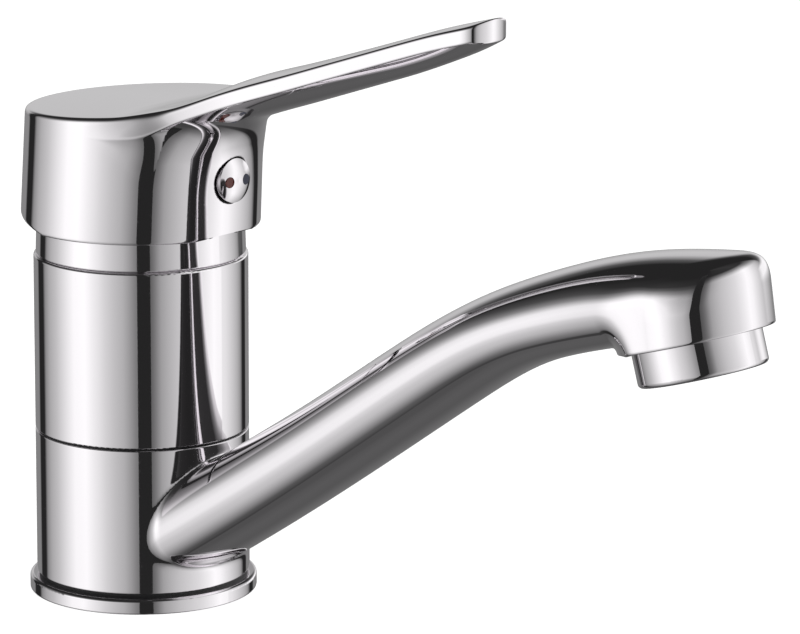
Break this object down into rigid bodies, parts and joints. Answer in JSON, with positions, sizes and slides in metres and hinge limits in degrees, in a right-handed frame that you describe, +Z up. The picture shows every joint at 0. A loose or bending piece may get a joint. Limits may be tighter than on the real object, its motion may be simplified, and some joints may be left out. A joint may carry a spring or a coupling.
{
  "type": "basin mixer tap",
  "caption": "Deck-mounted single-lever basin mixer with a low swivelling spout, a tilted aerator and a ceramic-disc cartridge under the lever's cap.",
  "frame": {"origin": "centre of the stem's foot and of the base ring's underside, on the deck", "axes": "+Z up along the tap's turning axis, +X forward over the basin along the spout and the lever, +Y to the cold side"},
  "size_m": [0.1972, 0.0536, 0.1411],
  "materials": {
    "chromed_brass": "polished chrome plate",
    "chromed_zinc": "polished chrome plate",
    "black_rubber": "matt",
    "dark_bearing_plastic": "matt",
    "grey_plastic": "satin moulding",
    "pale_plastic": "satin moulding",
    "white_ceramic": "lapped ceramic",
    "bare_brass": "turned",
    "steel": "turned",
    "red_enamel": "gloss",
    "blue_enamel": "gloss"
  },
  "bodies": {
    "tap_body": {"valve_body": "chromed_brass", "base_ring": "chromed_brass", "base_gasket": "black_rubber", "lower_slip_ring": "dark_bearing_plastic", "upper_slip_ring": "dark_bearing_plastic", "lower_spout_o_ring": "black_rubber", "upper_spout_o_ring": "black_rubber", "cartridge_base": "grey_plastic", "cartridge_port_seals": "black_rubber", "cartridge_housing": "grey_plastic", "fixed_disc": "white_ceramic", "retaining_nut": "bare_brass", "cover_ring": "chromed_brass"},
    "spout": {"spout_sleeve": "chromed_brass", "spout_arm": "chromed_brass", "aerator_housing": "chromed_brass", "aerator_washer": "black_rubber", "aerator_insert": "pale_plastic", "aerator_grille": "grey_plastic"},
    "turret": {"cartridge_turret": "pale_plastic", "pivot_pin": "steel"},
    "handle": {"lever_handle": "chromed_zinc", "handle_grub_screw": "steel", "indicator_plug": "chromed_zinc", "hot_indicator_dot": "red_enamel", "cold_indicator_dot": "blue_enamel", "cartridge_spindle": "bare_brass"},
    "disc": {"moving_disc": "white_ceramic", "disc_carrier": "pale_plastic"}
  },
  "joints": [
    {"name": "spout_swing", "type": "hinge", "parent": "tap_body", "child": "spout", "pos_m": [0, 0, 0.02], "axis": [0, 0, 1], "range_deg": [-60, 60]},
    {"name": "handle_turn", "type": "hinge", "parent": "tap_body", "child": "turret", "pos_m": [0, 0, 0.076], "axis": [0, 0, 1], "range_deg": [-48, 48]},
    {"name": "handle_lift", "type": "hinge", "parent": "turret", "child": "handle", "pos_m": [0, 0, 0.076], "axis": [0, -1, 0], "range_deg": [0, 24]},
    {"name": "disc_slide", "type": "slide", "parent": "turret", "child": "disc", "axis": [1, 0, 0], "range_m": [0, 0.0054]}
  ],
  "couplings": [
    {"joint": "disc_slide", "follows": "handle_lift", "m_per_rad": 0.0128}
  ]
}
